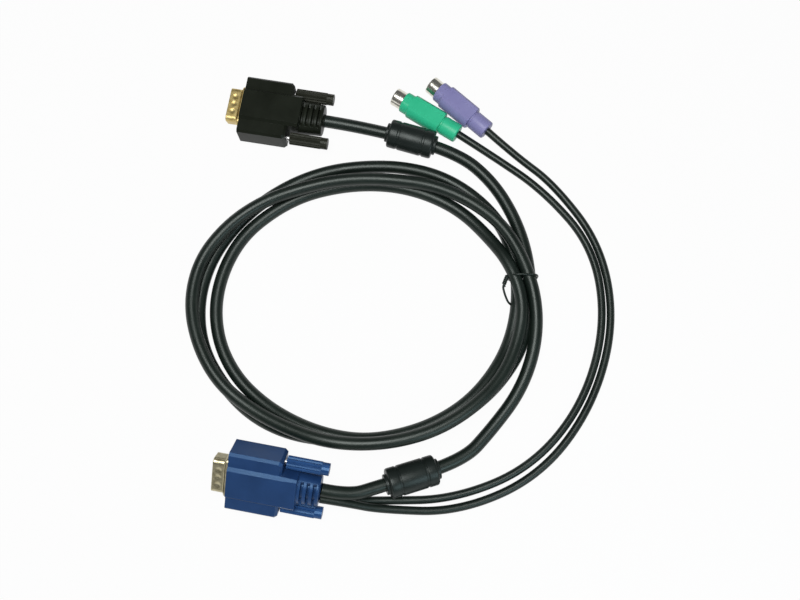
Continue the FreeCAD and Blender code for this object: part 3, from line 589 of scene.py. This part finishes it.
# A rounded D: its corners as arcs, with steps along the sides between them
def sectionPoints(values, section, inset):
    wide, high = (half - inset for half in section["half"])
    foot, radius = wide - section["slope"], section["corner"] - inset
    corners = [Vector(place) for place in ((wide, high), (-wide, high), (-foot, -high), (foot, -high))]
    arcs = []
    for index, corner in enumerate(corners):
        before = (corners[index - 1] - corner).normalized()
        after = (corners[(index + 1) % len(corners)] - corner).normalized()
        half = before.angle(after) / 2
        centre = corner + (before + after).normalized() * radius / math.sin(half)
        start = corner + before * radius / math.tan(half) - centre
        first = math.atan2(start.y, start.x)
        turns = [first + turn for turn in turnSteps(math.pi - 2 * half, values["cornerSteps"])]
        arcs.append([centre + Vector((math.cos(turn), math.sin(turn))) * radius for turn in turns])
    points = []
    for index, arc in enumerate(arcs):
        count = values["sideSteps"][index % 2]
        end = arcs[(index + 1) % len(arcs)][0]
        points += arc + [arc[-1].lerp(end, step / count) for step in range(1, count)]
    return points


# A soft dip: whole in its middle and nothing from its radius on
def dip(depth, apart, radius):
    return depth * (0.5 + 0.5 * math.cos(math.pi * min(1.0, apart / radius)))


def dentDepth(dent, along, y):
    first = dent["pitch"] * (1 - dent["count"]) / 2
    nearest = min(abs(y - first - dent["pitch"] * number) for number in range(dent["count"]))
    return dip(dent["depth"], math.hypot(nearest, along - dent["along"]), dent["radius"])


def frontShellShape(values):
    step, foot, rounding = values["step"], values["footRounding"], values["rootRounding"]
    rings = [(0.0, "root", 0.0)]
    for turn in quarterTurn:
        rings.append((step - rounding * (1 - math.sin(turn)), "root", rounding * (1 - math.cos(turn))))
    for turn in quarterTurn[:-1]:
        rings.append((step + foot * (1 - math.cos(turn)), "collar", foot * (math.sin(turn) - 1)))
    for along, inset in wallSteps(values, step + foot):
        rings.append((along, "collar", inset))
    rings.append((0.0, "collar", values["wall"]))
    shape = bmesh.new()
    rows = []
    for along, name, inset in rings:
        row = []
        for y, z in sectionPoints(values, values[name], inset):
            if name == "collar":
                z -= math.copysign(dentDepth(values["dent"], along, y), z)
            row.append(shape.verts.new((-along * mm, y * mm, z * mm)))
        rows.append(row)
    joinRings(shape, rows, looped=True)
    return shape


plugFinish = {
    "black": {"hood": "blackMoulding", "knob": "blackKnobPaintedLight", "shell": "gold", "slot": "black_plastic",
              "plate": "gold_plate"},
    "blue": {"hood": "blueMoulding", "knob": "blueKnobPaintedLight", "shell": "nickel", "slot": "blue_plastic",
             "plate": "nickel_plate"},
}
for colour, values in plugFinish.items():
    place = plugFrames[colour]
    roundedNode(colour + "_hood", place, hood, hood["edge"], material[values["hood"]], "lead",
                hood["longer"][colour])
    addPiece(colour + "_relief", reliefShape(relief, colour), place, material[values["hood"]], "lead",
             colour + "_hood")
    addPiece(colour + "_shell_stamped", frontShellShape(frontShell), place, material[values["shell"]], "lead",
             colour + "_shell", frontShell["smooth"], True)
    for side in ("a", "b"):
        roundedNode(colour + "_knob_" + side, place, hood, hood["knobEdge"], material[values["knob"]],
                    colour + "_screw_" + side)
print("15-way plugs done")


# A turned form: profile of along and radius, its corners rounded, with an optional flat on top
turned = {"cornerSteps": 4, "point": 0.001}  # a radius below the point is one point on the axis


def roundedProfile(corners, steps):
    points = []
    for index, corner in enumerate(corners):
        here = Vector(corner[:2])
        if index in (0, len(corners) - 1) or corner[2] == 0:
            points.append(here)
            continue
        before = here + (Vector(corners[index - 1][:2]) - here).normalized() * corner[2]
        after = here + (Vector(corners[index + 1][:2]) - here).normalized() * corner[2]
        for step in range(steps + 1):
            share = step / steps
            points.append(before.lerp(here, share).lerp(here.lerp(after, share), share))
    return points


def turnedShape(corners, angles, flat=None):
    shape = bmesh.new()
    rings = []
    for along, radius in roundedProfile(corners, turned["cornerSteps"]):
        if radius < turned["point"]:
            rings.append([shape.verts.new((along * mm, 0.0, 0.0))])
            continue
        ring = []
        for angle in angles:
            y, z = radius * math.sin(angle), radius * math.cos(angle)
            if flat and flat["start"] < along < flat["end"]:
                z = max(min(z, flat["height"]), flat["seat"])
            ring.append(shape.verts.new((along * mm, y * mm, z * mm)))
        rings.append(ring)
    for first, second in zip(rings, rings[1:]):
        count = max(len(first), len(second))
        for index in range(count):
            after = (index + 1) % count
            around = [first[index % len(first)], first[after % len(first)],
                      second[after % len(second)], second[index % len(second)]]
            shape.faces.new(dict.fromkeys(around))  # next to a single point, a triangle
    return shape


# Metal tube of a round plug, with three shallow key grooves along it
plugTube = {
    "radius": 4.75,
    "wall": 0.4,
    "reach": 5.8,
    "keys": (30.0, 150.0, 270.0),
    "keyWidth": 2.0,
    "keyDepth": 0.22,
    "wallSteps": 6,
    "rimSteps": 6,
    "around": 144,
    "smooth": 50.0,
}


def plugTubeShape(values):
    shape = bmesh.new()
    rings = []
    for along, inset in wallSteps(values, 0.0):
        ring = []
        for step in range(values["around"]):
            angle = 360.0 * step / values["around"]
            turn = min(abs((angle - key + 180.0) % 360.0 - 180.0) for key in values["keys"])
            groove = dip(values["keyDepth"], math.radians(turn) * values["radius"], values["keyWidth"] / 2)
            radius = values["radius"] - inset - groove
            y, z = radius * math.cos(math.radians(angle)), radius * math.sin(math.radians(angle))
            ring.append(shape.verts.new((-along * mm, y * mm, z * mm)))
        rings.append(ring)
    joinRings(shape, rings, looped=True)
    return shape


# Round plugs: nose, barrel with a flat on top, groove and boot
roundPlug = {
    "profile": [(0.0, 0.0, 0), (0.0, 5.55, 0.6), (4.3, 5.55, 0), (4.302, 5.75, 0.1), (4.9, 6.45, 0.4),
                (22.9, 6.45, 0.4), (23.498, 5.8, 0.2), (23.5, 4.5, 0.2), (24.5, 4.5, 0.2), (24.5, 5.0, 0.25),
                (33.7, 5.0, 0.9), (33.7, 0.0, 0)],
    "flat": {"start": -1.0, "end": 23.499, "height": 5.0, "seat": -6.05},
    "barrel": 6.45,
    "around": 72,
    "across": 8,  # of them over the flat
    "smooth": 32.0,
}
flatTurn = math.acos(roundPlug["flat"]["height"] / roundPlug["barrel"])
sideTurns = turnSteps(2 * math.pi - 2 * flatTurn, roundPlug["around"] - roundPlug["across"])[:-1]
flatTurns = turnSteps(2 * flatTurn, roundPlug["across"])[:-1]
plugAngles = [flatTurn + turn for turn in sideTurns] + [turn - flatTurn for turn in flatTurns]
for colour in ("green", "violet"):
    shape = turnedShape(roundPlug["profile"], plugAngles, roundPlug["flat"])
    addPiece(colour + "_plug_moulding", shape, plugFrames[colour], material[colour + "Moulding"], "lead",
             colour + "_plug_body", roundPlug["smooth"])
    addPiece(colour + "_plug_tube", plugTubeShape(plugTube), plugFrames[colour], material["brightNickel"],
             "lead", colour + "_plug_shell", plugTube["smooth"])
print("round plugs done")


# Ferrite sleeves: two ring grooves and a small collar at each end
ferrite = {
    "half": [(13.55, 3.35, 0), (13.55, 5.0, 0.4), (12.0, 5.0, 0.3), (12.0, 7.4, 1.2), (7.15, 7.4, 0.25),
             (7.15, 7.05, 0.15), (6.05, 7.05, 0.15), (6.05, 7.4, 0.25)],
    "around": 72,
    "places": {  # centre, and the cord's line there
        "black": ((17.2, 77.9, 7.5), (46.0, -13.1, -1.2)),
        "blue": ((17.0, -95.6, 8.4), (45.4, 13.8, -6.7)),
    },
    "smooth": 50.0,
}
ferriteProfile = [(-along, radius, rounding) for along, radius, rounding in ferrite["half"]]
ferriteProfile += list(reversed(ferrite["half"]))
for colour, (centre, line) in ferrite["places"].items():
    along = Vector(line).normalized()
    across = Vector((0.0, 0.0, 1.0)).cross(along).normalized()
    place = Matrix((along, across, along.cross(across))).transposed().to_4x4()
    place.translation = Vector(centre) * mm
    shape = turnedShape(ferriteProfile, roundSteps(ferrite["around"]))
    addPiece(colour + "_ferrite_sleeve", shape, place, material["sleeveMoulding"], "lead",
             colour + "_ferrite_cover", ferrite["smooth"])
print("ferrites done")


# Wire tie: a snug loop round the bundle, its ends twisted together, one of them left long
tie = {
    "diameter": 1.1,
    "middle": (73.3, 2.9, 7.5),
    "reach": (7.15, 7.1),
    "squareness": 3.0,
    "loopStart": 158.0,
    "loopSteps": 22,
    "twist": ((65.0, 2.9, 10.2), (63.5, -0.9, 8.9)),
    "twistRadius": 0.62,
    "twistTurns": 2.25,
    "twistSteps": 18,
    "shortEnd": (64.0, -2.2, 8.2),
    "tail": [(63.0, -2.4, 8.7), (63.7, -5.2, 8.0), (64.8, -8.0, 7.0), (66.0, -9.9, 5.6), (68.0, -11.0, 4.2)],
}


def twistPoints(values, phase):
    start, end = (Vector(place) for place in values["twist"])
    along = (end - start).normalized()
    across = along.cross(Vector((0.0, 0.0, 1.0))).normalized()
    beside = along.cross(across)
    points = []
    for step in range(values["twistSteps"] + 1):
        share = step / values["twistSteps"]
        angle = phase + 2 * math.pi * values["twistTurns"] * share
        offset = (across * math.cos(angle) + beside * math.sin(angle)) * values["twistRadius"]
        points.append(start.lerp(end, share) + offset)
    return points


def loopPoints(values):
    points = []
    power = 2 / values["squareness"]
    for turn in roundSteps(values["loopSteps"]):
        angle = math.radians(values["loopStart"]) - turn
        x = math.copysign(abs(math.cos(angle)) ** power, math.cos(angle)) * values["reach"][0]
        z = math.copysign(abs(math.sin(angle)) ** power, math.sin(angle)) * values["reach"][1]
        points.append(Vector(values["middle"]) + Vector((x, 0.0, z)))
    return points


tiePoints = [Vector(tie["shortEnd"])] + list(reversed(twistPoints(tie, 0.0))) + loopPoints(tie)
tiePoints += twistPoints(tie, math.pi) + [Vector(place) for place in tie["tail"]]
tieWire = newCurve("coil_tie_wire", tiePoints, tie["diameter"], material["blackJacket"])
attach(tieWire, "lead")
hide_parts("coil_tie")
print("tie done")


# Contact pins: each node's rods again, round and with a domed tip
pinValues = {"around": 20, "dome": 0.32, "smooth": 50.0}  # the dome is a share of the pin's diameter


# Lowest and highest corner of each loose rod in a node
def pinRods(node, place):
    copy = nodeShape(node, place)
    rods, seen = [], set()
    for first in copy.verts:
        if first in seen:
            continue
        group, ends = {first}, [first]
        while ends:
            here = ends.pop()
            for edge in here.link_edges:
                there = edge.other_vert(here)
                if there not in group:
                    group.add(there)
                    ends.append(there)
        seen |= group
        low = Vector([min(vert.co[axis] for vert in group) / mm for axis in range(3)])
        high = Vector([max(vert.co[axis] for vert in group) / mm for axis in range(3)])
        rods.append((low, high))
    copy.free()
    return rods


for colour in ("black", "blue", "green", "violet"):
    node = colour + ("_contacts" if colour in plugFinish else "_plug_contacts")
    pins = bmesh.new()
    for low, high in pinRods(node, plugFrames[colour]):
        radius = max(high.y - low.y, high.z - low.z) / 2
        profile = [(low.x, 0.0, 0), (low.x, radius, radius * 2 * pinValues["dome"]), (high.x, radius, 0),
                   (high.x, 0.0, 0)]
        pin = turnedShape(profile, roundSteps(pinValues["around"]))
        middle = (low + high) / 2 * mm
        bmesh.ops.translate(pin, verts=pin.verts, vec=(0.0, middle.y, middle.z))
        held = bpy.data.meshes.new("pin")
        pin.to_mesh(held)
        pin.free()
        pins.from_mesh(held)
        bpy.data.meshes.remove(held)
    addPiece(colour + "_pins", pins, plugFrames[colour], material["gold"], "lead", node,
             pinValues["smooth"])
print("contacts done")


# Nodes that keep their shape, with a finish each
kept = {
    "steel": ["black_stud_a", "black_stud_b", "blue_stud_a", "blue_stud_b"],
    "nickel": ["black_rear_shell", "blue_rear_shell"],
    "carrier": ["black_insulator", "blue_insulator", "green_plug_insulator", "violet_plug_insulator"],
    "ferrite": ["black_ferrite_core", "blue_ferrite_core"],
}
for finish, names in kept.items():
    for name in names:
        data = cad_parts[name].data
        data.materials.clear()
        data.materials.append(material[finish])
print("kept nodes done")


# Camera, glossy and transmission rays, which see the white background
def seenRays(tree):
    rays = tree.nodes.new("ShaderNodeLightPath")
    seen = maths(tree, "MAXIMUM", rays.outputs["Is Camera Ray"], rays.outputs["Is Glossy Ray"])
    return maths(tree, "MAXIMUM", seen, rays.outputs["Is Transmission Ray"])


# Stage: a pale floor that the camera sees as white, with the object's shadow kept faint
floorValues = {"size": 12.0, "colour": (0.55, 0.55, 0.55, 1.0), "faint": 0.96}  # size in metres
floorShape = bmesh.new()
bmesh.ops.create_grid(floorShape, x_segments=1, y_segments=1, size=floorValues["size"])
floorMesh = bpy.data.meshes.new("floor")
floorShape.to_mesh(floorMesh)
floorShape.free()
floor = bpy.data.objects.new("floor", floorMesh)
scene.collection.objects.link(floor)
floorMaterial = bpy.data.materials.new("floor")
floorMaterial.use_nodes = True
floorTree = floorMaterial.node_tree
floorTree.nodes.clear()
matte = floorTree.nodes.new("ShaderNodeBsdfDiffuse")
matte.inputs["Color"].default_value = floorValues["colour"]
glow = floorTree.nodes.new("ShaderNodeEmission")
blend = floorTree.nodes.new("ShaderNodeMixShader")
white = maths(floorTree, "MULTIPLY", seenRays(floorTree), floorValues["faint"])
floorTree.links.new(white, blend.inputs["Fac"])
floorTree.links.new(matte.outputs["BSDF"], blend.inputs[1])
floorTree.links.new(glow.outputs["Emission"], blend.inputs[2])
floorOutput = floorTree.nodes.new("ShaderNodeOutputMaterial")
floorTree.links.new(blend.outputs["Shader"], floorOutput.inputs["Surface"])
floorMesh.materials.append(floorMaterial)

# World: a dim even room, with a low white backdrop round the floor for the rays that see it
worldValues = {"dim": 0.15, "tint": (0.96, 0.98, 1.0, 1.0), "white": 0.97, "height": 0.2}
world = bpy.data.worlds.new("world")
scene.world = world
world.use_nodes = True
worldTree = world.node_tree
worldTree.nodes.clear()
room = worldTree.nodes.new("ShaderNodeBackground")
room.inputs["Color"].default_value = worldValues["tint"]
room.inputs["Strength"].default_value = worldValues["dim"]
backdrop = worldTree.nodes.new("ShaderNodeBackground")
backdrop.inputs["Color"].default_value = (1.0, 1.0, 1.0, 1.0)
backdrop.inputs["Strength"].default_value = worldValues["white"]
towards = worldTree.nodes.new("ShaderNodeSeparateXYZ")
worldTree.links.new(worldTree.nodes.new("ShaderNodeTexCoord").outputs["Generated"], towards.inputs["Vector"])
nearFloor = maths(worldTree, "LESS_THAN", towards.outputs["Z"], worldValues["height"])
worldBlend = worldTree.nodes.new("ShaderNodeMixShader")
worldTree.links.new(maths(worldTree, "MULTIPLY", nearFloor, seenRays(worldTree)), worldBlend.inputs["Fac"])
worldTree.links.new(room.outputs["Background"], worldBlend.inputs[1])
worldTree.links.new(backdrop.outputs["Background"], worldBlend.inputs[2])
worldOutput = worldTree.nodes.new("ShaderNodeOutputWorld")
worldTree.links.new(worldBlend.outputs["Shader"], worldOutput.inputs["Surface"])

# Lamps, in metres and watts: a soft one overhead on the left and a weak cool one at the lower right
lamps = {
    "key": {"place": (-0.07, -0.05, 0.62), "target": (0.0, -0.02, 0.0), "size": (0.34, 0.3), "power": 3.5,
            "colour": (1.0, 1.0, 1.0)},
    "fill": {"place": (0.2, -0.26, 0.22), "target": (0.05, -0.09, 0.0), "size": (0.2, 0.16), "power": 0.37,
             "colour": (0.72, 0.92, 1.0)},
}
for name, values in lamps.items():
    lamp = bpy.data.lights.new(name, "AREA")
    lamp.shape = "RECTANGLE"
    lamp.size, lamp.size_y = values["size"]
    lamp.energy = values["power"]
    lamp.color = values["colour"]
    light = bpy.data.objects.new(name, lamp)
    light.location = values["place"]
    aim = Vector(values["target"]) - Vector(values["place"])
    light.rotation_euler = aim.to_track_quat("-Z", "Y").to_euler()
    scene.collection.objects.link(light)
print("stage done")
